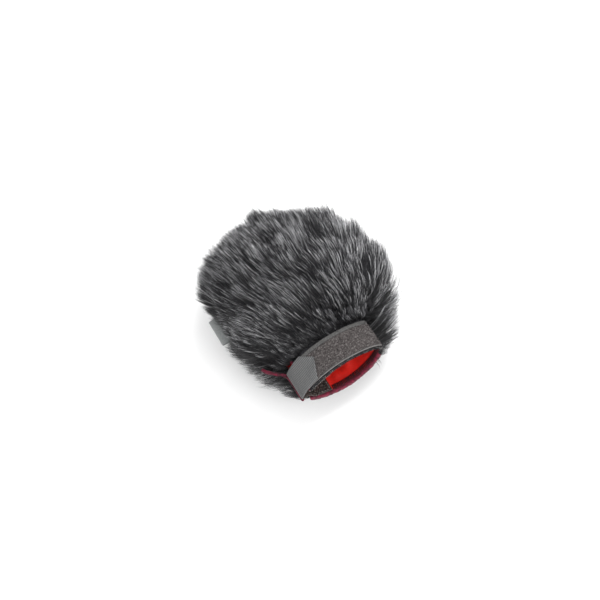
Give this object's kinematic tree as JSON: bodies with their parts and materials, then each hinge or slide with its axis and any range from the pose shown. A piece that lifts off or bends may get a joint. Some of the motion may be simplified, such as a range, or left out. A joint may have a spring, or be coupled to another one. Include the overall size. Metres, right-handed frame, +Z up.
{
  "type": "furry windscreen",
  "caption": "Slip-on fur bag for a handheld recorder, with a fabric lining and a lens-shaped neck closed by a hook-and-loop strap with a pointed end.",
  "frame": {"origin": "bottom centre of the bounding box, on the surface that the bag lies on", "axes": "+Z up, -Y out of the mouth, +Y towards the crown, +X across the neck, to the right as one looks into the mouth's back"},
  "size_m": [0.1398, 0.1571, 0.101],
  "materials": {
    "fur": "long grey pile with silver tips",
    "lining": "red satin",
    "knit": "near-black ribbed elastic",
    "binding": "crimson binding tape",
    "loop": "grey loop tape with a fuzzy face",
    "hook": "grey ribbed woven tape",
    "label": "grey woven ribbon",
    "thread": "grey sewing thread",
    "red_thread": "dark red sewing thread"
  },
  "bodies": {
    "bag": {"fur_top_panel": "fur", "fur_bottom_panel": "fur", "lining_top_panel": "lining", "lining_bottom_panel": "lining", "panel_seam_thread": "thread", "collar_band": "knit", "rim_elastic_upper": "knit", "rim_elastic_lower": "knit", "rim_binding": "binding", "rim_binding_thread": "red_thread", "slit_binding_upper": "binding", "slit_binding_lower": "binding", "loop_tape": "loop", "loop_tape_thread": "thread", "strap_base": "hook", "strap_base_thread": "thread"},
    "tail": {"strap_tail": "hook"},
    "label": {"label": "label", "label_thread": "thread"}
  },
  "joints": [
    {"name": "strap_peel", "type": "hinge", "parent": "bag", "child": "tail", "pos_m": [-0.0369, -0.0615, 0.04815], "axis": [0, -1, 0], "range_deg": [0, 130]},
    {"name": "label_swing", "type": "hinge", "parent": "bag", "child": "label", "pos_m": [-0.0537, 0.0115, 0.046], "axis": [0, 1, 0], "range_deg": [-15, 15], "stiffness_Nm_per_rad": 0.001}
  ]
}
